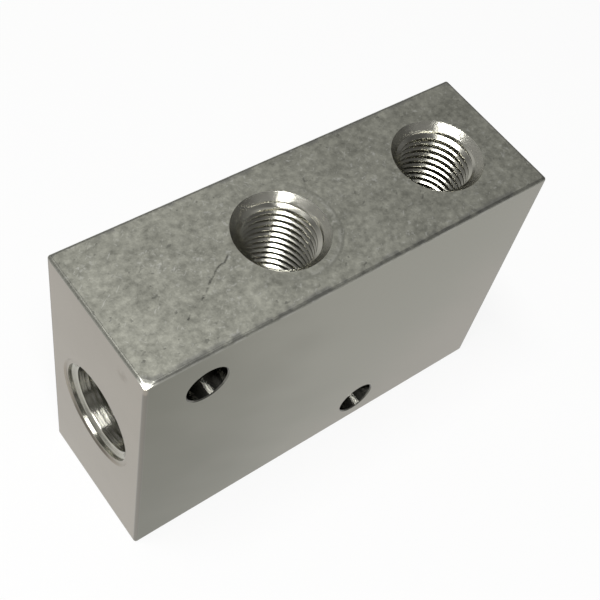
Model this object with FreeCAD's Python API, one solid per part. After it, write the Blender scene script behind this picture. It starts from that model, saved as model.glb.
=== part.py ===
import FreeCAD, Part
import math
import os

# A hydraulic manifold block: one bar of aluminium, squared, drilled, countersunk, bored for pipe threads, and
# with its outer edges broken round. Sizes are in millimetres. X runs along the bar from its inlet end to its
# blind end, Y from front to back, and Z up. The block rests on its underside, whose centre is the origin.

# The bar
LENGTH = 76.2
DEPTH = 25.4
HEIGHT = 50.8
EDGE_RADIUS = 0.5

# The inlet port in the end of the bar, bored for a three-eighths parallel pipe thread. A larger drill
# relieves its mouth, so that the thread starts below the face, and a flat countersink cuts a shallow seat
# round it.
INLET_TAP_DRILL = 14.95
INLET_DEPTH = 17.0
INLET_RELIEF = 16.9
INLET_RELIEF_DEPTH = 0.85
INLET_SEAT = 18.7
INLET_SEAT_DEPTH = 0.25

# The gallery, drilled on from the floor of the inlet port to just past the far port
GALLERY_DIAMETER = 9.5
GALLERY_HEIGHT = 25.4
GALLERY_PAST_FAR_PORT = 5.0

# The two ports in the top, bored for a quarter parallel pipe thread, each with a drilling down to the gallery
PORT_TAP_DRILL = 11.6
PORT_MOUTH = 15.4
PORT_DEPTH = 17.0
PORT_DRILLING = 8.0
MIDDLE_PORT_FROM_INLET_END = 31.5
FAR_PORT_FROM_BLIND_END = 13.2

# The two mounting holes, drilled from front to back near opposite corners of the long face
BOLT_HOLE = 7.0
BOLT_HOLE_MOUTH = 7.4
UPPER_HOLE_FROM_INLET_END = 10.7
UPPER_HOLE_FROM_TOP = 8.2
LOWER_HOLE_FROM_INLET_END = 47.0
LOWER_HOLE_FROM_BASE = 6.5

# The tools: the angle between the sides of each cone, and how far a tool starts outside the face it enters
COUNTERSINK_ANGLE = 90.0
DRILL_POINT_ANGLE = 118.0
CLEAR_OF_FACE = 2.0

ALONG = FreeCAD.Vector(1, 0, 0)
BACK = FreeCAD.Vector(0, 1, 0)
UP = FreeCAD.Vector(0, 0, 1)
INLET_END = -LENGTH / 2
BLIND_END = LENGTH / 2
FRONT = -DEPTH / 2
MIDDLE_PORT = INLET_END + MIDDLE_PORT_FROM_INLET_END
FAR_PORT = BLIND_END - FAR_PORT_FROM_BLIND_END


def turned(outline):
    """The solid that (radius, depth) points make when turned about the Z axis, with depth going down."""
    points = [FreeCAD.Vector(radius, 0, -depth) for radius, depth in outline]
    face = Part.Face(Part.makePolygon(points + points[:1]))
    return face.revolve(FreeCAD.Vector(0, 0, 0), UP, 360)


def drill(diameter, depth):
    """A drill that reaches this deep at its full diameter, with its point below that."""
    radius = diameter / 2
    point = radius / math.tan(math.radians(DRILL_POINT_ANGLE) / 2)
    return turned([(0, -CLEAR_OF_FACE), (radius, -CLEAR_OF_FACE), (radius, depth), (0, depth + point)])


def countersink(mouth):
    """A pointed cone that opens a hole to the mouth's diameter at the face."""
    slope = math.tan(math.radians(COUNTERSINK_ANGLE) / 2)
    radius = mouth / 2
    rim = radius + CLEAR_OF_FACE * slope
    return turned([(0, -CLEAR_OF_FACE), (rim, -CLEAR_OF_FACE), (0, radius / slope)])


def seat_cutter(mouth, depth):
    """A countersink with a flat end, for a shallow seat whose sloping edge has the mouth's diameter."""
    slope = math.tan(math.radians(COUNTERSINK_ANGLE) / 2)
    radius = mouth / 2
    rim = radius + CLEAR_OF_FACE * slope
    return turned([(0, -CLEAR_OF_FACE), (rim, -CLEAR_OF_FACE), (radius - depth * slope, depth), (0, depth)])


def aimed(cutter, entry, outwards):
    """The cutter moved to the point where it enters the bar, standing outwards from the face there."""
    placed = cutter.copy()
    placed.Placement = FreeCAD.Placement(entry, FreeCAD.Rotation(UP, outwards))
    return placed


def rounded_bar():
    """The squared bar with its outer edges and corners broken round."""
    bar = Part.makeBox(LENGTH, DEPTH, HEIGHT, FreeCAD.Vector(INLET_END, FRONT, 0))
    return bar.makeFillet(EDGE_RADIUS, bar.Edges)


def inlet_cutters():
    """The seat, relief and bore of the inlet port, and the gallery drilled on behind them."""
    entry = FreeCAD.Vector(INLET_END, 0, GALLERY_HEIGHT)
    seat = seat_cutter(INLET_SEAT, INLET_SEAT_DEPTH)
    relief = drill(INLET_RELIEF, INLET_RELIEF_DEPTH)
    bore = drill(INLET_TAP_DRILL, INLET_DEPTH)
    gallery = drill(GALLERY_DIAMETER, FAR_PORT + GALLERY_PAST_FAR_PORT - INLET_END)
    return [aimed(tool, entry, -ALONG) for tool in (seat, relief, bore, gallery)]


def top_port_cutters(along):
    """The countersink and bore of one port in the top, and its drilling down to the middle of the gallery."""
    entry = FreeCAD.Vector(along, 0, HEIGHT)
    drilling = drill(PORT_DRILLING, HEIGHT - GALLERY_HEIGHT)
    tools = [countersink(PORT_MOUTH), drill(PORT_TAP_DRILL, PORT_DEPTH), drilling]
    return [aimed(tool, entry, UP) for tool in tools]


def bolt_hole_cutters(along, height):
    """A hole drilled right through from the front, with a light countersink at its front and back."""
    front = FreeCAD.Vector(along, FRONT, height)
    rear = front + BACK * DEPTH
    sink = countersink(BOLT_HOLE_MOUTH)
    through = drill(BOLT_HOLE, DEPTH + CLEAR_OF_FACE)
    return [aimed(through, front, -BACK), aimed(sink, front, -BACK), aimed(sink, rear, BACK)]


def manifold_block():
    """The rounded bar with its inlet, gallery, top ports and mounting holes cut away."""
    cutters = inlet_cutters()
    cutters += top_port_cutters(MIDDLE_PORT)
    cutters += top_port_cutters(FAR_PORT)
    cutters += bolt_hole_cutters(INLET_END + UPPER_HOLE_FROM_INLET_END, HEIGHT - UPPER_HOLE_FROM_TOP)
    cutters += bolt_hole_cutters(INLET_END + LOWER_HOLE_FROM_INLET_END, LOWER_HOLE_FROM_BASE)
    return rounded_bar().cut(cutters).removeSplitter()


block = manifold_block().Solids[0]
print("valid:", block.isValid(), "faces:", len(block.Faces), "volume in mm3:", round(block.Volume, 1))

os.makedirs("parts", exist_ok=True)
block.exportStep("parts/manifold_block.step")
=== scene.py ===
# %% [markdown]
# # A hydraulic manifold block
#
# The object is one bar of aluminium. Oil enters through a threaded port in its left end, runs along a
# gallery inside, and leaves through two threaded ports in the top. Two plain holes let it be bolted to a
# panel.
#
# This lesson dresses the solid model of the block for a picture. The solid has smooth bores, so the new
# piece is made the way a machinist makes the real one: a rounded bar, and cutters that are taken away from
# it. Only the cutters for the ports differ from the solid's, because they also cut the threads.

# %% Load the model
import math
import bmesh
import bpy
import numpy as np
from mathutils import Matrix, Vector


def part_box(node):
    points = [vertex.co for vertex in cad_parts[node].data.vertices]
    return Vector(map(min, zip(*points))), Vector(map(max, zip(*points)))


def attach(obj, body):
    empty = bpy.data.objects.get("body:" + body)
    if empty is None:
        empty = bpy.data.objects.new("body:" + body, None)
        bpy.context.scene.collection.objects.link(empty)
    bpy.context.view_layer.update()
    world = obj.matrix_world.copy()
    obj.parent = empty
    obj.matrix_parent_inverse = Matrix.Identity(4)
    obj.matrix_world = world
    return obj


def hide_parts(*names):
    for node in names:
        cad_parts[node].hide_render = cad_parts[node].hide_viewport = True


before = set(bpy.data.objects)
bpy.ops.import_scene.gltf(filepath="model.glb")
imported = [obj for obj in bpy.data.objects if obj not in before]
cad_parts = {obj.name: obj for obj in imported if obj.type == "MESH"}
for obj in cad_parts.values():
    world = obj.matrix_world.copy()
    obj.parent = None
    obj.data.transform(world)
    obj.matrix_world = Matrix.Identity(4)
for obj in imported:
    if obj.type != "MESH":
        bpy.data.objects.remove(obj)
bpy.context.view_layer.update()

NODE = "manifold_block"

# %% [markdown]
# ## The size of the bar
#
# Every size is in millimetres and is turned into metres only when points go into a mesh. The bar's outer
# size is read from the loaded solid, so the two can't drift apart. The frame stands on the middle of the
# underside: X runs from the inlet end to the blind end, Y from front to back, and Z up.

# %% Size of the bar
MM = 0.001
low, high = (np.array(corner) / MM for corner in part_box(NODE))
LENGTH, DEPTH, HEIGHT = high - low
EDGE_RADIUS = 0.5
INLET_END, BLIND_END, FRONT, TOP = -LENGTH / 2, LENGTH / 2, -DEPTH / 2, HEIGHT
print("bar:", [round(float(size), 2) for size in (LENGTH, DEPTH, HEIGHT)])

# %% [markdown]
# ## From a grid of points to a closed skin
#
# Every surface below is a grid: rows one way, columns the other, and a point for each pair. Four neighbours
# make a face. Where a row shrinks to one point, or the last column lies on the first, welding the points
# that coincide closes the skin, so no pole or seam needs a case of its own.

# %% Grid to mesh
WELD = 1e-5 * MM


def skin(name, grid, material_index):
    """An object whose faces join each point (row, column) of the grid to its next row and next column."""
    rows, columns = grid.shape[:2]
    index = np.arange(rows * columns).reshape(rows, columns)
    corners = [index[:-1, :-1], index[1:, :-1], index[1:, 1:], index[:-1, 1:]]
    quads = np.stack(corners, axis=-1).reshape(-1, 4)
    mesh = bpy.data.meshes.new(name)
    mesh.from_pydata((grid.reshape(-1, 3) * MM).tolist(), [], quads.tolist())
    shell = bmesh.new()
    shell.from_mesh(mesh)
    bmesh.ops.remove_doubles(shell, verts=shell.verts, dist=WELD)
    bmesh.ops.recalc_face_normals(shell, faces=shell.faces)
    for face in shell.faces:
        face.material_index = material_index
    open_edges = sum(not edge.is_manifold for edge in shell.edges)
    shell.to_mesh(mesh)
    shell.free()
    made = bpy.data.objects.new(name, mesh)
    bpy.context.scene.collection.objects.link(made)
    print(name, "faces:", len(mesh.polygons), "open edges:", open_edges)
    return made


# %% [markdown]
# ## The bar
#
# The stock is a squared bar whose twelve edges were broken round by tumbling. A bevelled box would do, but
# there is a neater way to see it: take a small ball, cut it into eight, and pull the pieces out to the
# corners. The gaps that open between them are exactly the flat faces and the quarter-round edges.

# %% The rounded bar
ROUNDING_STEPS = 8


def pulled_ball():
    """A ball of the edge's radius whose latitudes are parted at the equator and longitudes at each quarter.

    A point is its corner's centre plus the radius times (cos lat cos lon, cos lat sin lon, sin lat). One
    more row at each end lies at the middle of the top and the bottom face, which closes them.
    """
    quarter = np.linspace(0, math.pi / 2, ROUNDING_STEPS + 1)
    latitude = np.concatenate([quarter - math.pi / 2, quarter])
    longitude = np.concatenate([quarter + turn * math.pi / 2 for turn in range(4)])
    up = np.repeat([-1, 1], len(quarter))
    along = np.repeat([1, -1, -1, 1], len(quarter))
    back = np.repeat([1, 1, -1, -1], len(quarter))
    rows = len(latitude)
    columns = len(longitude)
    lat = latitude[:, None]
    x = along * (LENGTH / 2 - EDGE_RADIUS) + EDGE_RADIUS * np.cos(lat) * np.cos(longitude)
    y = back * (DEPTH / 2 - EDGE_RADIUS) + EDGE_RADIUS * np.cos(lat) * np.sin(longitude)
    z = HEIGHT / 2 + up * (HEIGHT / 2 - EDGE_RADIUS) + EDGE_RADIUS * np.sin(latitude)
    ball = np.stack([x, y, np.broadcast_to(z[:, None], (rows, columns))], axis=-1)
    closed = np.concatenate([ball, ball[:, :1]], axis=1)
    bottom = np.broadcast_to([0.0, 0.0, 0.0], closed[:1].shape)
    top = np.broadcast_to([0.0, 0.0, HEIGHT], closed[:1].shape)
    return np.concatenate([bottom, closed, top])


OUTSIDE, BORED_UP, BORED_ALONG, BORED_ACROSS = range(4)
block = skin("block", pulled_ball(), OUTSIDE)

# %% [markdown]
# ## Turned cutters
#
# A drill and a countersink are both a profile turned about an axis. Each is worked out standing upright,
# with its axis on Z and the face of the metal at height 0, and then aimed at the place where it enters the
# block. The cutter starts a little outside the metal, so that no two faces lie in one plane when it is
# taken away. All the cones that open a hole slope at 45 degrees, so there a radius grows by as much as the
# height.

# %% Turned cutters
COLUMNS = 152
CLEAR_OF_FACE = 1.5
DRILL_POINT_ANGLE = math.radians(118)
angle = np.linspace(0, 2 * math.pi, COLUMNS + 1)


def turned(profile):
    """The (radius, height) points of the profile at every angle: (r cos a, r sin a, h)."""
    radius, height = np.array(profile, dtype=float).T
    return np.stack([radius[:, None] * np.cos(angle), radius[:, None] * np.sin(angle),
                     np.broadcast_to(height[:, None], (len(height), len(angle)))], axis=-1)


def point_length(radius):
    """How far a drill's point reaches past its full radius."""
    return radius / math.tan(DRILL_POINT_ANGLE / 2)


def drill(diameter, depth):
    """A drill that reaches this deep at its full diameter, with its point below that."""
    radius = diameter / 2
    tip = depth + point_length(radius)
    return turned([(0, CLEAR_OF_FACE), (radius, CLEAR_OF_FACE), (radius, -depth), (0, -tip)])


def seat_cutter(mouth, depth):
    """A flat cutter with a sloping edge, for a shallow seat with this diameter at the face."""
    radius = mouth / 2
    rim = radius + CLEAR_OF_FACE
    return turned([(0, CLEAR_OF_FACE), (rim, CLEAR_OF_FACE), (radius - depth, -depth), (0, -depth)])


print("sides of a turned cutter:", COLUMNS)

# %% Aiming a cutter
UP = np.array([0.0, 0.0, 1.0])
LEFT = np.array([-1.0, 0.0, 0.0])
FORWARD = np.array([0.0, -1.0, 0.0])
UPRIGHT = 0.5


def aimed(grid, entry, outwards):
    """The grid turned so that its Z axis points outwards, and moved to the entry, with nothing mirrored.

    Its X axis turns as far up as it can, or as far right where the cutter itself stands upright.
    """
    side = UP if abs(outwards[2]) < UPRIGHT else -LEFT
    side = side - outwards * side.dot(outwards)
    side /= np.linalg.norm(side)
    frame_of_cutter = np.stack([side, np.cross(outwards, side), outwards])
    return grid @ frame_of_cutter + entry


# %% [markdown]
# ## Threads
#
# The ports have parallel pipe threads with 19 turns to the inch and a 55 degree groove whose root is
# rounded. The groove's crest is flat here, because the tap only cuts into the wall that the drill left. The
# crest's two edges are rounded a little, as they are on metal that has been tumbled.
#
# A screw could be modelled by sweeping the groove along a helix and cutting it from a plain bore. It is
# simpler to let the rows of the grid climb by one pitch in each turn. Every row then follows one line of
# the thread, so the crests and roots are true helices. The mouth's cone, the bore and the thread all have
# the same axis, and the widest of the three at each point is what is left when all have been cut.

# %% One turn of the thread
PITCH = 25.4 / 19
FLANK_ANGLE = math.radians(27.5)
ROOT_ROUNDING = 0.137329 * PITCH
CREST_ROUNDING = 0.10
CREST_STEPS, ROOT_STEPS = 3, 3


def groove(major_radius, bore_radius):
    """Heights within one turn and the radius at each: over the crest's edge, down to the root, and up again.

    A straight flank joins two arcs that it meets as a tangent: a large one at the root of the groove, and a
    small one where the flank would have made a sharp edge with the bore.
    """
    tilt = math.pi / 2 - FLANK_ANGLE
    turn = np.linspace(tilt, 0, ROOT_STEPS + 1)
    root_height = ROOT_ROUNDING * np.sin(turn)
    root_radius = major_radius - ROOT_ROUNDING + ROOT_ROUNDING * np.cos(turn)
    edge = root_height[0] + (root_radius[0] - bore_radius) * math.tan(FLANK_ANGLE)
    turn = np.linspace(0, tilt, CREST_STEPS + 1)
    crest_height = edge + CREST_ROUNDING * (math.tan(tilt / 2) - np.sin(turn))
    crest_radius = bore_radius + CREST_ROUNDING * (1 - np.cos(turn))
    height = np.concatenate([crest_height, root_height])
    radius = np.concatenate([crest_radius, root_radius])
    return np.concatenate([height, -height[-2::-1]]), np.concatenate([radius, radius[-2::-1]])


print("pitch in mm:", round(PITCH, 3))

# %% The cutter for a threaded port
ABOVE_RIM = 0.3
RUN_OUT_TURNS = 0.8


def threaded_port(major, tap_drill, mouth, depth, first_root, plain=0.0):
    """Countersink, bore and thread in one skin.

    Each row keeps its place within the turn while its height grows by one pitch in each turn of the angle.
    Heights well above the rim or past the port's depth are held there, where the welding joins them to the
    rest. The radius is the widest of the cone, the bore and the groove, and the groove runs out above the
    floor. A plain wall of some millimetres may come before the first turn, and the first root lies this far
    below the face.
    """
    mouth_radius = mouth / 2
    bore_radius = tap_drill / 2
    in_turn, groove_radius = groove(major / 2, bore_radius)
    turns = np.arange(-1, math.ceil(depth / PITCH) + 2)
    start = (in_turn - PITCH * turns[:, None]).ravel() - first_root
    row_radius = np.tile(groove_radius, len(turns))
    climbing = start[:, None] + PITCH * angle / (2 * math.pi)
    height = np.clip(climbing, -depth, ABOVE_RIM)
    run_out = np.clip((-height - depth) / PITCH + RUN_OUT_TURNS, 0, RUN_OUT_TURNS) / RUN_OUT_TURNS
    run_in = np.clip((plain + height) / PITCH + 1, 0, 1) if plain else 0.0
    shallower = np.maximum(run_out, run_in) * (groove_radius.max() - bore_radius)
    wall = np.maximum(row_radius[:, None] - shallower, bore_radius)
    wall = np.maximum(wall, mouth_radius + height)
    wall = np.where(climbing > ABOVE_RIM, mouth_radius + ABOVE_RIM, wall)
    screw = np.stack([wall * np.cos(angle), wall * np.sin(angle), height], axis=-1)
    above = turned([(0, CLEAR_OF_FACE), (mouth_radius + CLEAR_OF_FACE, CLEAR_OF_FACE)])
    below = turned([(0, -depth - point_length(bore_radius))])
    return np.concatenate([above, screw, below])


# %% [markdown]
# ## The ports and their passages
#
# The sizes are those that the solid was cut with. Each top port is a countersink, a bore with a
# quarter-inch pipe thread, and a narrower drilling down to the gallery. The inlet has a three-eighths
# thread that starts behind a plain wall, a relief round its mouth and a shallow seat, and the gallery is
# drilled on from its floor. Where a cutter's cone or point ends inside a wider one, it leaves no mark.

# %% The two ports in the top
QUARTER_PIPE_MAJOR = 13.157
PORT_TAP_DRILL, PORT_MOUTH, PORT_DEPTH, PORT_DRILLING = 11.6, 15.4, 17.0, 8.0
MIDDLE_PORT_FIRST_ROOT, FAR_PORT_FIRST_ROOT = 0.11, 0.47
GALLERY_HEIGHT = HEIGHT / 2
MIDDLE_PORT = INLET_END + 31.5
FAR_PORT = BLIND_END - 13.2


def top_port(name, along, first_root):
    """The cutters of one top port: the threaded bore, and the drilling to the middle of the gallery."""
    entry = np.array([along, 0, TOP])
    bore = threaded_port(QUARTER_PIPE_MAJOR, PORT_TAP_DRILL, PORT_MOUTH, PORT_DEPTH, first_root)
    drilling = drill(PORT_DRILLING, TOP - GALLERY_HEIGHT)
    return [skin(name + "_port", aimed(bore, entry, UP), BORED_UP),
            skin(name + "_drilling", aimed(drilling, entry, UP), BORED_UP)]


cutters = top_port("middle", MIDDLE_PORT, MIDDLE_PORT_FIRST_ROOT)
cutters += top_port("far", FAR_PORT, FAR_PORT_FIRST_ROOT)

# %% The inlet port and the gallery
THREE_EIGHTHS_PIPE_MAJOR = 16.662
INLET_TAP_DRILL, INLET_MOUTH, INLET_DEPTH = 14.95, 16.3, 17.0
INLET_FIRST_ROOT, INLET_PLAIN_WALL = 1.0, 4.0
INLET_RELIEF, INLET_RELIEF_DEPTH = 16.9, 0.85
INLET_SEAT, INLET_SEAT_DEPTH = 18.7, 0.25
GALLERY_DIAMETER, GALLERY_PAST_FAR_PORT = 9.5, 5.0
inlet_bore = threaded_port(THREE_EIGHTHS_PIPE_MAJOR, INLET_TAP_DRILL, INLET_MOUTH, INLET_DEPTH,
                           INLET_FIRST_ROOT, INLET_PLAIN_WALL)
gallery = drill(GALLERY_DIAMETER, FAR_PORT + GALLERY_PAST_FAR_PORT - INLET_END)
inlet_entry = np.array([INLET_END, 0, GALLERY_HEIGHT])
cutters += [
    skin("inlet_seat", aimed(seat_cutter(INLET_SEAT, INLET_SEAT_DEPTH), inlet_entry, LEFT), OUTSIDE),
    skin("inlet_relief", aimed(drill(INLET_RELIEF, INLET_RELIEF_DEPTH), inlet_entry, LEFT), BORED_ALONG),
    skin("inlet_port", aimed(inlet_bore, inlet_entry, LEFT), BORED_ALONG),
    skin("gallery", aimed(gallery, inlet_entry, LEFT), BORED_ALONG),
]

# %% [markdown]
# ## The mounting holes
#
# Two plain holes run from front to back near opposite corners of the long face. One closed cutter makes
# each hole with the light countersinks at both of its ends, because a cutter may stick out of the metal on
# either side.

# %% The two mounting holes
BOLT_HOLE, BOLT_HOLE_MOUTH = 7.0, 7.4
UPPER_HOLE = np.array([INLET_END + 10.7, FRONT, TOP - 8.2])
LOWER_HOLE = np.array([INLET_END + 47.0, FRONT, 6.5])


def bolt_hole():
    """Cone, straight bore and cone, from outside the front to outside the back."""
    radius, mouth = BOLT_HOLE / 2, BOLT_HOLE_MOUTH / 2
    lip = mouth - radius
    return turned([(0, CLEAR_OF_FACE), (mouth + CLEAR_OF_FACE, CLEAR_OF_FACE), (radius, -lip),
                   (radius, -DEPTH + lip), (mouth + CLEAR_OF_FACE, -DEPTH - CLEAR_OF_FACE),
                   (0, -DEPTH - CLEAR_OF_FACE)])


cutters += [skin("upper_hole", aimed(bolt_hole(), UPPER_HOLE, FORWARD), BORED_ACROSS),
            skin("lower_hole", aimed(bolt_hole(), LOWER_HOLE, FORWARD), BORED_ACROSS)]

# %% [markdown]
# ## The knocked corner
#
# The front corner over the inlet end has been knocked, which left a small bright flat. It could be painted,
# but a real flat is bright only where it faces the light. A flat-ended disc, aimed at the corner and sunk
# by the depth of the knock, cuts it.

# %% The knocked corner
KNOCK_DEPTH, KNOCK_RADIUS = 0.65, 3.5
KNOCK_TOWARDS = np.array([-0.3, -0.3, 0.905])
towards = KNOCK_TOWARDS / np.linalg.norm(KNOCK_TOWARDS)
knock = turned([(0, CLEAR_OF_FACE), (KNOCK_RADIUS, CLEAR_OF_FACE), (KNOCK_RADIUS, 0), (0, 0)])
knock_at = np.array([INLET_END, FRONT, TOP]) - towards * KNOCK_DEPTH
cutters.append(skin("corner_knock", aimed(knock, knock_at, towards), OUTSIDE))

# %% [markdown]
# ## Machining
#
# The cutters are taken away one after another with Boolean modifiers, and the result replaces the bar's
# mesh. Each cut face keeps the material number of its cutter, which tells the bores from the outside later
# on. The Manifold solver is the quick one, and it works because every skin above is closed.

# %% Cut the block
FINISH_COUNT = 4
for number in range(FINISH_COUNT):
    block.data.materials.append(bpy.data.materials.new("blank_%d" % number))
for cutter in cutters:
    for blank in block.data.materials:
        cutter.data.materials.append(blank)
    cut = block.modifiers.new(cutter.name, "BOOLEAN")
    cut.operation = "DIFFERENCE"
    cut.solver = "MANIFOLD"
    cut.object = cutter
machined = bpy.data.meshes.new_from_object(block.evaluated_get(bpy.context.evaluated_depsgraph_get()))
block.modifiers.clear()
block.data = machined
machined.name = "block"
for cutter in cutters:
    bpy.data.objects.remove(cutter)
shares = np.bincount([face.material_index for face in machined.polygons], minlength=FINISH_COUNT)
print("faces by finish:", shares.tolist())

# %% [markdown]
# ## Smooth and sharp edges
#
# The fine facets of the bores, the thread's roots and crests and the rounded edges should look curved,
# while the rims of the ports stay crisp. Every face is shaded smooth, each edge that turns by more than a
# set angle is marked sharp, and a Weighted Normal modifier lets the large flat faces keep their own
# direction.

# %% Shade the block
SHARP_ANGLE = math.radians(40)
shaded = bmesh.new()
shaded.from_mesh(machined)
bmesh.ops.dissolve_degenerate(shaded, edges=shaded.edges, dist=WELD)
for face in shaded.faces:
    face.smooth = True
for edge in shaded.edges:
    edge.smooth = edge.is_manifold and edge.calc_face_angle() < SHARP_ANGLE
print("sharp edges:", sum(not edge.smooth for edge in shaded.edges))
shaded.to_mesh(machined)
shaded.free()
LARGE_FACE_WEIGHT = 100
weighted = block.modifiers.new("flat faces keep their direction", "WEIGHTED_NORMAL")
weighted.keep_sharp = True
weighted.weight = LARGE_FACE_WEIGHT

# %% [markdown]
# ## Arithmetic with shader sockets
#
# A procedural finish is mostly arithmetic: a noise times a strength, one minus a mask. This small class
# wraps a socket, so that such a formula can be written as Python and each operation becomes a Math node.
# Every other node comes from its one method, which sets the node's settings first and then its inputs.

# %% The socket class
class Value:
    """An output socket of a shader tree that can stand in a formula."""

    def __init__(self, tree, socket=None):
        self.tree, self.socket = tree, socket

    def node(self, kind, settings=None, inputs=None, output=0):
        """A new node of this kind with its settings, then its inputs, as a Value of one of its outputs."""
        made = self.tree.nodes.new("ShaderNode" + kind)
        for name, setting in (settings or {}).items():
            setattr(made, name, setting)
        for name, given in (inputs or {}).items():
            if isinstance(given, Value):
                self.tree.links.new(given.socket, made.inputs[name])
            else:
                made.inputs[name].default_value = given
        return Value(self.tree, made.outputs[output])

    def feeds(self, input_socket):
        """Links this value to the input of a node that is already in the tree."""
        self.tree.links.new(self.socket, input_socket)

    def math(self, operation, first, second=0.0):
        return self.node("Math", {"operation": operation}, {0: first, 1: second})

    def __add__(self, other):
        return self.math("ADD", self, other)

    __radd__ = __add__

    def __mul__(self, other):
        return self.math("MULTIPLY", self, other)

    __rmul__ = __mul__

    def __sub__(self, other):
        return self.math("SUBTRACT", self, other)

    def __rsub__(self, other):
        return self.math("SUBTRACT", other, self)

    def __neg__(self):
        return self.math("SUBTRACT", 0.0, self)

    def __truediv__(self, other):
        return self.math("DIVIDE", self, other)

    def __abs__(self):
        return self.math("ABSOLUTE", self)

    def larger(self, other):
        return self.math("MAXIMUM", self, other)

    def smaller(self, other):
        return self.math("MINIMUM", self, other)

    def root(self):
        return self.math("SQRT", self)

    def wave(self, length):
        """A sine wave of this length along the value."""
        return self.math("SINE", self * (2 * math.pi / length))

    def rises(self, start, end):
        """0 before start, 1 after end, and a smooth rise between them."""
        return self.node("MapRange", {"interpolation_type": "SMOOTHSTEP"},
                         {"Value": self, "From Min": start, "From Max": end})

    def axis(self, number):
        """The x, y or z of a place."""
        return self.node("SeparateXYZ", inputs={0: self}, output=number)

    def distance(self, point):
        """How far a place is from a point, which is the node's output 1."""
        return self.node("VectorMath", {"operation": "DISTANCE"}, {0: self, 1: point}, output=1)

    def noise(self, size, detail, roughness=0.5):
        """A noise with features about this many millimetres across."""
        return self.node("TexNoise", {"noise_dimensions": "3D"},
                         {"Vector": self, "Scale": 1.0 / size, "Detail": detail, "Roughness": roughness})

    def swing(self):
        """How far a noise is from 0.5, its middle."""
        return self - 0.5

    def noise_along(self, size, detail):
        """A noise that changes only with this value, as lines across it do."""
        return self.node("TexNoise", {"noise_dimensions": "1D"},
                         {"W": self, "Scale": 1.0 / size, "Detail": detail})

    def stretched(self, turn, stretch):
        """The place turned by these angles and stretched by these factors, for marks that run one way."""
        return self.node("Mapping", {"vector_type": "TEXTURE"},
                         {"Vector": self, "Rotation": turn, "Scale": stretch})

    def colour(self, first, second):
        """A mix of two colours by this factor: inputs 6 and 7 of a Mix node, and its output 2."""
        return self.node("Mix", {"data_type": "RGBA", "clamp_factor": True},
                         {0: self, 6: first, 7: second}, output=2)


# %% Starting and ending a finish
def start_finish(name):
    """A new metal, its shader node, and Values of the place on the object in millimetres: whole, x, y, z."""
    material = bpy.data.materials.new(name)
    material.use_nodes = True
    tree = material.node_tree
    shader = tree.nodes["Principled BSDF"]
    shader.inputs["Metallic"].default_value = 1.0
    metres = Value(tree).node("TexCoord", output="Object")
    place = metres.node("VectorMath", {"operation": "SCALE"}, {0: metres, "Scale": 1 / MM})
    return material, shader, place, [place.axis(number) for number in range(3)]


def finish_with(shader, colour, roughness, height, depth_mm):
    """Feeds a finish's colour, roughness and surface height into its shader."""
    bump = colour.node("Bump", inputs={"Strength": 1.0, "Distance": depth_mm * MM, "Height": height})
    colour.feeds(shader.inputs["Base Color"])
    roughness.feeds(shader.inputs["Roughness"])
    bump.feeds(shader.inputs["Normal"])


# %% [markdown]
# ## The outside
#
# The top of the real block has the dull, mottled skin of the stock, with pale flecks, dark pits and short
# scratches in it. The long sides are smoother and clouded, and the milled ends are painted paler than the
# sides, which is painted light. Three materials would meet in a hard line on the rounded edges, so one
# material does all three, and it tells them apart by place: near the top or the underside, or near an end.
# Each change has a start and an end, in millimetres inside the face.

# %% Where on the outside a point lies
outside, shader, place, (x, y, z) = start_finish("outside")
from_middle = z - HEIGHT / 2


def near(distance, half, start, end):
    """1 where a distance from the middle is within end of the half size, 0 before it is within start."""
    return abs(distance).rises(half - start, half - end)


SKIN_FADE, FLAT_FADE, END_FADE = (0.75, 0.15), (0.10, 0.02), (0.7, 0.2)
top_here = near(from_middle, HEIGHT / 2, *SKIN_FADE)
flat_here = near(from_middle, HEIGHT / 2, *FLAT_FADE)
end_here = near(x, LENGTH / 2, *END_FADE)
print("skin of the top within mm of it:", SKIN_FADE, "milled end within mm of it:", END_FADE)

# %% [markdown]
# ## The skin of the top
#
# Rolled or drawn stock is never one grey. Three noises of falling size make its clouds, blotches and grain,
# and others pick out flecks, pits and short strokes. Flecks gather in patches, and most of all in one
# scuffed place left of the middle port. Each noise has its size in millimetres, and a mark shows where its
# noise rises from the first to the second of two heights.

# %% The skin of the top
DULL_SKIN, PALE_SKIN = (0.305, 0.306, 0.26, 1), (0.74, 0.738, 0.635, 1)
FLECK, PIT = (0.82, 0.82, 0.76, 1), (0.13, 0.13, 0.12, 1)
CLOUD_SIZE, BLOTCH_SIZE, GRAIN_SIZE = 4.5, 1.1, 0.36
CLOUD_SHARE, BLOTCH_SHARE, GRAIN_SHARE = 0.7, 0.9, 0.5
PATCH_SIZE, PATCH_SHOWS = 6.0, (0.45, 0.60)
FLECK_SIZE, FLECK_SHOWS, FLECK_STRENGTH = 0.7, (0.58, 0.72), 0.6
PIT_SIZE, PIT_SHOWS, PIT_STRENGTH = 0.8, (0.66, 0.76), 0.5
PIT_TURN, PIT_STRETCH, LOST_IN_PATCHES = (0.0, 0.0, 0.5), (1.5, 1.0, 1.0), 0.7
SCUFFED_AT, SCUFF_FADE, SCUFF_STRENGTH = (-17.0, -1.0), (3.0, 11.0), 0.8
STROKE_TILT, STROKE_SOFTNESS, STROKE_STRENGTH = (0.3, 0.2), 0.09, 0.5


def strokes(turn, width, length, rare, seed):
    """Short marks that run one way in the plane of the top face."""
    where = place.stretched((*STROKE_TILT, turn), (length, width, width))
    marks = where.node("TexNoise", {"noise_dimensions": "4D"},
                       {"Vector": where, "Scale": 1.0, "Detail": 1.0, "W": seed})
    return marks.rises(rare, rare + STROKE_SOFTNESS)


def off_axis(at):
    """The distance in the plane of the top from an upright line at this x and y."""
    from_x, from_y = x - at[0], y - at[1]
    return (from_x * from_x + from_y * from_y).root()


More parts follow.
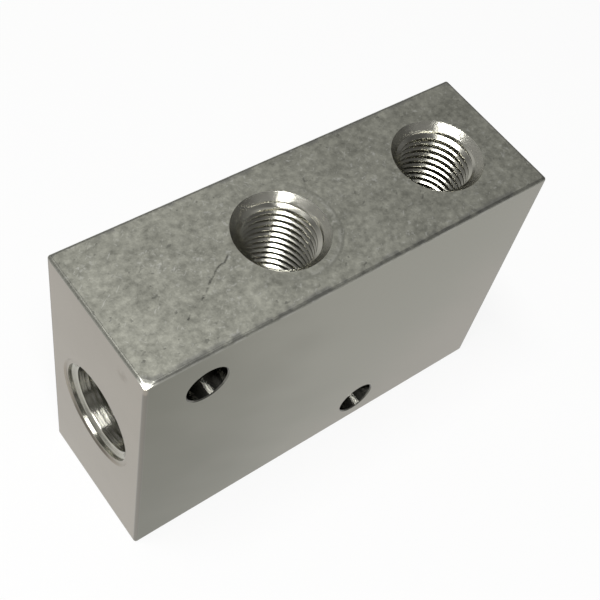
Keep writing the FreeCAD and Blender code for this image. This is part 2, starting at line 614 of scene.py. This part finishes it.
clouds = place.noise(CLOUD_SIZE, detail=2.0)
blotches = place.noise(BLOTCH_SIZE, detail=3.0, roughness=0.6)
grain = place.noise(GRAIN_SIZE, detail=2.0, roughness=0.6)
scuffed = SCUFF_STRENGTH - off_axis(SCUFFED_AT).rises(*SCUFF_FADE)
patches = place.noise(PATCH_SIZE, detail=2.0).rises(*PATCH_SHOWS).larger(scuffed)
flecks = place.noise(FLECK_SIZE, detail=2.0).rises(*FLECK_SHOWS) * patches
pits = place.stretched(PIT_TURN, PIT_STRETCH).noise(PIT_SIZE, detail=1.5).rises(*PIT_SHOWS)
pits = pits * (1.0 - patches * LOST_IN_PATCHES)
leaning_right = strokes(turn=0.7, width=0.35, length=2.2, rare=0.66, seed=1.0)
leaning_left = strokes(turn=-0.9, width=0.3, length=1.8, rare=0.67, seed=2.0)
pale_strokes = leaning_right.larger(leaning_left)
skin_tone = 0.5 + clouds.swing() * CLOUD_SHARE + blotches.swing() * BLOTCH_SHARE
skin_tone = skin_tone + grain.swing() * GRAIN_SHARE
skin_colour = skin_tone.colour(DULL_SKIN, PALE_SKIN)
skin_colour = (pale_strokes * STROKE_STRENGTH + flecks * FLECK_STRENGTH).colour(skin_colour, FLECK)
skin_colour = (pits * PIT_STRENGTH).colour(skin_colour, PIT)
print("nodes with the skin:", len(outside.node_tree.nodes))

# %% [markdown]
# ## Marks on the top
#
# A long crooked scratch lies left of the middle port, and a fitting has left a faint ring round that port,
# pale inside and dark outside. A noise can't put one mark in one place, so both are distances: from a line
# of a few corners, and from the port's axis. Each distance is then turned into a thin band. A noise makes
# the line crooked and lets it fade out in places. The ring shows on one side of the port only, a painted
# sheen: only there does the real ring catch the light.

# %% Marks on the top
SCRATCH = [(-15.2, 0.7), (-17.1, -0.63), (-18.7, -0.95), (-21.0, -2.6), (-22.7, -4.0), (-25.2, -5.2),
           (-27.1, -6.3)]
SCRATCH_FADE, SCRATCH_STRENGTH = (0.04, 0.24), 0.75
CROOK_SIZE, CROOK_WIDTH = 0.9, 0.9
TRACE_SIZE, TRACE_SHOWS = 1.6, (0.36, 0.56)
RING_PALE_RADIUS, RING_PALE_FADE, RING_PALE_STRENGTH = 8.85, (0.1, 0.45), 0.3
RING_DARK_RADIUS, RING_DARK_FADE, RING_DARK_STRENGTH = 9.3, (0.05, 0.35), 0.35
RING_SHEEN_TOWARDS, RING_SHEEN_BETWEEN, RING_SHOWS = (0.8, -0.6), (-3.0, 6.0), (0.35, 0.6)
RING_PALE, MARK_DARK = (0.66, 0.66, 0.62, 1), (0.10, 0.10, 0.09, 1)


def from_line(start, end, crooked):
    """The distance in the plane of the top from the line between two points."""
    run, climb = end[0] - start[0], end[1] - start[1]
    from_x, from_y = x + crooked - start[0], y + crooked - start[1]
    share = ((from_x * run + from_y * climb) / (run * run + climb * climb)).larger(0.0).smaller(1.0)
    off_x, off_y = from_x - share * run, from_y - share * climb
    return (off_x * off_x + off_y * off_y).root()


crooked = place.noise(CROOK_SIZE, detail=2.0).swing() * CROOK_WIDTH
scratch_off = from_line(SCRATCH[0], SCRATCH[1], crooked)
for start, end in zip(SCRATCH[1:], SCRATCH[2:]):
    scratch_off = from_line(start, end, crooked).smaller(scratch_off)
traced = place.noise(TRACE_SIZE, detail=2.0).rises(*TRACE_SHOWS)
scratch = (1.0 - scratch_off.rises(*SCRATCH_FADE)) * traced
round_port = off_axis((MIDDLE_PORT, 0.0))
# Painted sheen: the ring is drawn only on the side of the port where it catches the light.
ring_sheen_side = (x - MIDDLE_PORT) * RING_SHEEN_TOWARDS[0] + y * RING_SHEEN_TOWARDS[1]
ring_in_sheen = ring_sheen_side.rises(*RING_SHEEN_BETWEEN) * blotches.rises(*RING_SHOWS)
ring_pale = (1.0 - abs(round_port - RING_PALE_RADIUS).rises(*RING_PALE_FADE)) * ring_in_sheen
ring_dark = (1.0 - abs(round_port - RING_DARK_RADIUS).rises(*RING_DARK_FADE)) * ring_in_sheen
skin_colour = (ring_pale * RING_PALE_STRENGTH).colour(skin_colour, RING_PALE)
dark_marks = scratch * SCRATCH_STRENGTH + ring_dark * RING_DARK_STRENGTH
skin_colour = dark_marks.colour(skin_colour, MARK_DARK)
print("corners of the scratch:", len(SCRATCH), "nodes with the marks:", len(outside.node_tree.nodes))

# %% [markdown]
# ## The sides and the ends
#
# The sides are a smoother grey with a painted reflection on them: they grow paler away from the inlet end,
# and warmer low down on the right. A stretched haze bends both changes, so that they don't run along
# straight lines. A brown smudge lies on the end above the inlet.

# %% The sides and the ends
SIDE_DARK_PAINTED_REFLECTION, SIDE_PALE_PAINTED_REFLECTION = (0.168, 0.167, 0.135, 1), (0.268, 0.263, 0.223, 1)
SIDE_WARM_PAINTED_REFLECTION = (0.31, 0.290, 0.252, 1)
# Painted light: the ends' colours are paler than the sides', as if more light fell on them.
END_DARK_WITH_PAINTED_LIGHT, END_PALE_WITH_PAINTED_LIGHT = (0.295, 0.268, 0.225, 1), (0.365, 0.335, 0.285, 1)
HAZE_TURN, HAZE_SIZE, DRIFT_MM = (0.0, 0.6, 0.0), (26.0, 20.0, 12.0), 30.0
PALE_REFLECTION_BETWEEN, WARM_REFLECTION_BETWEEN, WARM_REFLECTION_TOWARDS = (-42.0, 4.0), (0.0, 46.0), (0.7, -0.8)
END_HAZE_SHARE, END_BLOTCH_SHARE = 0.8, 0.25
SMUDGE, SMUDGE_AT, SMUDGE_FADE = (0.16, 0.13, 0.09, 1), (INLET_END, -7.3, 46.6), (0.4, 1.9)
SMUDGE_SHOWS, SMUDGE_STRENGTH = (0.4, 0.6), 0.4
haze = place.stretched(HAZE_TURN, HAZE_SIZE).noise(1.0, detail=2.0)
drift = haze.swing() * DRIFT_MM
# Painted reflection: the sides are painted darker at the inlet end and paler away from it.
side_colour_with_painted_reflection = (x + drift).rises(*PALE_REFLECTION_BETWEEN).colour(SIDE_DARK_PAINTED_REFLECTION, SIDE_PALE_PAINTED_REFLECTION)
# Painted reflection: the sides are painted warmer low down on the right.
low_right = x * WARM_REFLECTION_TOWARDS[0] + from_middle * WARM_REFLECTION_TOWARDS[1] + drift
side_colour_with_painted_reflection = low_right.rises(*WARM_REFLECTION_BETWEEN).colour(side_colour_with_painted_reflection, SIDE_WARM_PAINTED_REFLECTION)
end_tone = 0.5 + haze.swing() * END_HAZE_SHARE + blotches.swing() * END_BLOTCH_SHARE
smudge = (1.0 - place.distance(SMUDGE_AT).rises(*SMUDGE_FADE)) * blotches.rises(*SMUDGE_SHOWS)
end_colour_with_painted_light = (smudge * SMUDGE_STRENGTH).colour(end_tone.colour(END_DARK_WITH_PAINTED_LIGHT, END_PALE_WITH_PAINTED_LIGHT), SMUDGE)
colour = top_here.colour(end_here.colour(side_colour_with_painted_reflection, end_colour_with_painted_light), skin_colour)
print("nodes with the sides and ends:", len(outside.node_tree.nodes))

# %% [markdown]
# ## Worn edges
#
# The rounds of the edges are made darker. Handling has rubbed the top pale in places beside its long
# edges, and round the knocked corner the top is painted pale, a painted highlight beside the flat's own. A
# point is on an edge when it is near two faces at once, so two masks are multiplied for each pair of
# directions.

# %% Worn edges
EDGE_FADE, KNOCKED_FADE = (0.62, 0.46), (1.6, 2.4)
RUBBED_FADE, RUBBED_SIZE, RUBBED_SHOWS = (1.3, 0.7), 2.6, (0.42, 0.62)
PALE_WEAR_AND_HIGHLIGHT, PALE_WEAR_AND_HIGHLIGHT_STRENGTH = (0.72, 0.72, 0.68, 1), 0.35
DARKER_EDGE_ROUND, EDGE_ROUND_DARKENING = (0.12, 0.12, 0.11, 1), 0.55
at_x = near(x, LENGTH / 2, *EDGE_FADE)
at_y = near(y, DEPTH / 2, *EDGE_FADE)
at_z = near(from_middle, HEIGHT / 2, *EDGE_FADE)
knocked = 1.0 - place.distance((INLET_END, FRONT, TOP)).rises(*KNOCKED_FADE)
edge_here = (at_x * at_y).larger(at_y * at_z).larger(at_x * at_z) * (1.0 - knocked)
rubbed_places = place.noise(RUBBED_SIZE, detail=2.0).rises(*RUBBED_SHOWS)
pale_wear_and_highlight = near(y, DEPTH / 2, *RUBBED_FADE) * top_here * rubbed_places
# Painted highlight: round the knocked corner the top is painted pale, beside the real bright flat.
pale_wear_and_highlight = pale_wear_and_highlight.larger(knocked * top_here)
colour = (pale_wear_and_highlight * PALE_WEAR_AND_HIGHLIGHT_STRENGTH).colour(colour, PALE_WEAR_AND_HIGHLIGHT)
# The rounds of the edges are made darker here.
colour = (edge_here * EDGE_ROUND_DARKENING).colour(colour, DARKER_EDGE_ROUND)
print("nodes with the worn edges:", len(outside.node_tree.nodes))

# %% [markdown]
# ## Roughness and relief of the outside
#
# The skin of the top is rougher than the milled faces, unevenly so, and what has been rubbed is smoother.
# The same noises and marks that colour the top also raise and sink it, so colour and relief agree. The
# relief is only some hundredths of a millimetre, too little for the mesh, so a bump makes it.

# %% Roughness and relief of the outside
METAL_ROUGHNESS, SKIN_ADDS, BLOTCHES_ADD, RUBBING_TAKES = 0.34, 0.12, 0.15, 0.12
BLOTCH_HEIGHT, GRAIN_HEIGHT, PIT_HEIGHT, SCRATCH_HEIGHT, SIDE_GRAIN_HEIGHT = 0.5, 0.25, -0.5, -1.5, 0.1
RELIEF_MM = 0.02
skin_roughness = SKIN_ADDS + blotches.swing() * BLOTCHES_ADD
roughness = METAL_ROUGHNESS + skin_roughness * top_here - pale_wear_and_highlight * RUBBING_TAKES
skin_height = blotches * BLOTCH_HEIGHT + grain * GRAIN_HEIGHT + pits * PIT_HEIGHT + scratch * SCRATCH_HEIGHT
height = skin_height * flat_here + grain * SIDE_GRAIN_HEIGHT
finish_with(shader, colour, roughness, height, RELIEF_MM)
print("nodes in the outside:", len(outside.node_tree.nodes))

# %% [markdown]
# ## The bores
#
# Drills, countersinks and taps leave bright metal with fine ridges round the bore, one for each turn of the
# tool. They stretch the lamp's reflection into a bright streak along the bore. An anisotropic shader could
# do that, but it needs a direction at each point. A wave that changes only along the bore's axis gives the
# same streak, and a finer noise keeps it from looking too even. One function makes the finish for each
# direction.

# %% Finish of the bores
RIDGE_LENGTH, RIDGE_DEPTH = 0.12, 0.0063
FINE_LENGTH, FINE_SHARE = 0.04, 0.3
UNEVEN_LENGTH, UNEVEN_SHOWS = 1 / 2.2, (0.35, 0.65)
TONE_SIZE, TONE_ROUGHENS = 1.5, 0.6
MOUTH_SOFTNESS = 0.05
DARK_METAL, PALE_METAL = (0.46, 0.45, 0.395), (0.60, 0.59, 0.52)


def bored(name, axis, mouth, mouth_ridges, wall_ridges, unevenness, brightness, roughness):
    """Bright metal with fine ridges round the given axis.

    The mouth reaches in by some millimetres and has its own share of the ridges' depth. The ridges on the
    wall behind it may be uneven from one place along the bore to the next.
    """
    material, shader, place, axes = start_finish(name)
    along = axes[axis]
    half = (high - low)[axis] / 2
    middle = HEIGHT / 2 if axis == 2 else 0.0
    mouth_here = near(along - middle, half, mouth + MOUTH_SOFTNESS, mouth - MOUTH_SOFTNESS)
    fine = along.noise_along(FINE_LENGTH, detail=2.0)
    patchy = along.noise_along(UNEVEN_LENGTH, detail=1.0).rises(*UNEVEN_SHOWS)
    tone = place.noise(TONE_SIZE, detail=3.0)
    dark, pale = ([share * brightness for share in metal] + [1] for metal in (DARK_METAL, PALE_METAL))
    wall = wall_ridges * (1.0 + patchy.swing() * unevenness)
    depth = wall + mouth_here * (mouth_ridges - wall)
    ridges = along.wave(RIDGE_LENGTH) + fine.swing() * FINE_SHARE
    uneven = roughness + tone * roughness * TONE_ROUGHENS
    finish_with(shader, tone.colour(dark, pale), uneven, ridges * depth, RIDGE_DEPTH)
    return material


bored_up = bored("bored_up", 2, mouth=1.1, mouth_ridges=0.95, wall_ridges=0.03, unevenness=0.0,
                 brightness=1.0, roughness=0.15)
bored_along = bored("bored_along", 0, mouth=0.85, mouth_ridges=0.7, wall_ridges=1.25, unevenness=0.8,
                    brightness=0.8, roughness=0.15)
# The mounting holes' metal is painted dark, a painted shade deep in the holes and on their rims.
bored_across = bored("bored_across", 1, mouth=0.25, mouth_ridges=1.2, wall_ridges=1.2, unevenness=0.0,
                     brightness=0.28, roughness=0.10)
print("nodes in a bore's finish:", len(bored_up.node_tree.nodes))

# %% [markdown]
# ## Dressing the block
#
# The blanks give way to the real finishes, in the order of the numbers that the cut faces kept. Then the
# block takes the place of the solid, which is hidden, and it rides on the root, because nothing in a block
# moves.

# %% Dress the block
for number, finish in enumerate([outside, bored_up, bored_along, bored_across]):
    block.data.materials[number] = finish
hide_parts(NODE)
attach(block, "root")
print("finishes:", [finish.name for finish in block.data.materials])

# %% [markdown]
# ## Floor
#
# The block stands on plain paper. A lit white floor is never quite as white as paper in a bright studio, so
# what the camera and the reflections see is mixed with an even white. The rest stays a real surface, which
# keeps the block's soft shadow.

# %% Floor
FLOOR_HALF = 2.0
PAPER, PAPER_ROUGHNESS, EVEN_WHITE = (0.85, 0.85, 0.84, 1), 0.9, 0.85
floor_mesh = bpy.data.meshes.new("floor")
corners = [(-FLOOR_HALF, -FLOOR_HALF, 0), (FLOOR_HALF, -FLOOR_HALF, 0), (FLOOR_HALF, FLOOR_HALF, 0),
           (-FLOOR_HALF, FLOOR_HALF, 0)]
floor_mesh.from_pydata(corners, [], [(0, 1, 2, 3)])
floor = bpy.data.objects.new("floor", floor_mesh)
bpy.context.scene.collection.objects.link(floor)
paper = bpy.data.materials.new("paper")
paper.use_nodes = True
paper_tree = paper.node_tree
paper_shader = paper_tree.nodes["Principled BSDF"]
paper_shader.inputs["Base Color"].default_value = PAPER
paper_shader.inputs["Roughness"].default_value = PAPER_ROUGHNESS
camera_ray = Value(paper_tree).node("LightPath")
glossy_ray, clear_ray = (Value(paper_tree, camera_ray.socket.node.outputs[name])
                         for name in ("Is Glossy Ray", "Is Transmission Ray"))
seen = camera_ray.larger(glossy_ray).larger(clear_ray)
white = seen.node("Emission")
lit = Value(paper_tree, paper_shader.outputs[0])
blend = seen.node("MixShader", inputs={0: seen * EVEN_WHITE, 1: lit, 2: white})
blend.feeds(paper_tree.nodes["Material Output"].inputs[0])
floor_mesh.materials.append(paper)
print("floor in metres:", 2 * FLOOR_HALF)

# %% [markdown]
# ## Sky
#
# Metal shows what is round it, so the sky matters as much as the lamp. An even sky would leave the block
# flat. This one is a band of soft light low down that fades overhead. It is dimmer to the right, which
# darkens the far part of the top, and dimmer high up in front, which darkens what leans towards the viewer
# in the ports.

# %% Sky
SKY_LEAST, SKY_BAND = 0.04, 0.58
BAND_RISE, BAND_FALL, OVERHEAD_LOSS = (0.05, 0.35), (0.45, 0.78), 0.78
RIGHTWARDS, RIGHT_LOSS = (0.25, 0.8), 0.75
FRONTWARDS, FRONT_HEIGHT, FRONT_LOSS = (0.2, 0.5), (0.35, 0.6), 0.5
world = bpy.data.worlds.new("studio")
bpy.context.scene.world = world
world.use_nodes = True
direction = Value(world.node_tree).node("TexCoord", output="Generated")
right, front, up = direction.axis(0), -direction.axis(1), direction.axis(2)
band = up.rises(*BAND_RISE) * (1.0 - up.rises(*BAND_FALL) * OVERHEAD_LOSS)
dim = 1.0 - right.rises(*RIGHTWARDS) * RIGHT_LOSS
dim = dim * (1.0 - front.rises(*FRONTWARDS) * up.rises(*FRONT_HEIGHT) * FRONT_LOSS)
(SKY_LEAST + band * dim * SKY_BAND).feeds(world.node_tree.nodes["Background"].inputs[0])
print("nodes in the sky:", len(world.node_tree.nodes))

# %% [markdown]
# ## Lamp
#
# One long, narrow softbox hangs above and a little to the left. A small lamp would leave a point in each
# bore. The long one runs from front to back, so it gives the ports their white sectors and the mounting
# holes their streaks.

# %% Lamp
LAMP_TOWARDS, LAMP_DISTANCE = (-0.25, -0.14, 0.95), 0.6
LAMP_WIDTH, LAMP_LENGTH, LAMP_RADIANCE = 0.12, 0.46, 22.5
back = Vector(LAMP_TOWARDS).normalized()
long_side = Vector((0, 1, 0))
long_side = (long_side - back * long_side.dot(back)).normalized()
turn = Matrix((long_side.cross(back), long_side, back)).transposed()
light = bpy.data.lights.new("softbox", "AREA")
light.shape = "RECTANGLE"
light.size, light.size_y = LAMP_WIDTH, LAMP_LENGTH
light.energy = LAMP_RADIANCE * math.pi * LAMP_WIDTH * LAMP_LENGTH
softbox = bpy.data.objects.new("softbox", light)
softbox.matrix_world = Matrix.Translation(back * LAMP_DISTANCE + Vector((0, 0, TOP * MM))) @ turn.to_4x4()
bpy.context.scene.collection.objects.link(softbox)
print("softbox watts:", round(light.energy, 2))

# %% [markdown]
# ## Camera
#
# The camera looks down on the inlet corner from the front left, and it is tilted. Its place, aim, roll and
# lens were found by matching the corners of the block that show in the picture. A small shift of the lens
# keeps the block where it stands in the frame.

# %% Camera
IMAGE = 600
FOCAL_PIXELS = 1059.1
PRINCIPAL = (315.0, 345.0)
SENSOR_WIDTH = 36.0
NEAREST_SEEN = 0.01
CAMERA_AT = Vector((-79.69, -71.14, 170.54)) * MM
LOOKS_AT = Vector((-0.78, -7.72, 25.4)) * MM
ROLL = math.radians(-16.832)
forward = (LOOKS_AT - CAMERA_AT).normalized()
level = forward.cross(Vector((0, 0, 1))).normalized()
upright = level.cross(forward)
camera_up = upright * math.cos(ROLL) + level * math.sin(ROLL)
camera_right = forward.cross(camera_up)
camera_data = bpy.data.cameras.new("camera")
camera_data.sensor_width = SENSOR_WIDTH
camera_data.lens = FOCAL_PIXELS / IMAGE * SENSOR_WIDTH
camera_data.shift_x = (IMAGE / 2 - PRINCIPAL[0]) / IMAGE
camera_data.shift_y = (PRINCIPAL[1] - IMAGE / 2) / IMAGE
camera_data.clip_start = NEAREST_SEEN
camera = bpy.data.objects.new("camera", camera_data)
camera_turn = Matrix((camera_right, camera_up, -forward)).transposed().to_4x4()
camera.matrix_world = Matrix.Translation(CAMERA_AT) @ camera_turn
bpy.context.scene.collection.objects.link(camera)
bpy.context.scene.camera = camera
bpy.context.scene.view_settings.view_transform = "Standard"
print("lens in mm:", round(camera_data.lens, 2))
print("shift:", round(camera_data.shift_x, 3), round(camera_data.shift_y, 3))
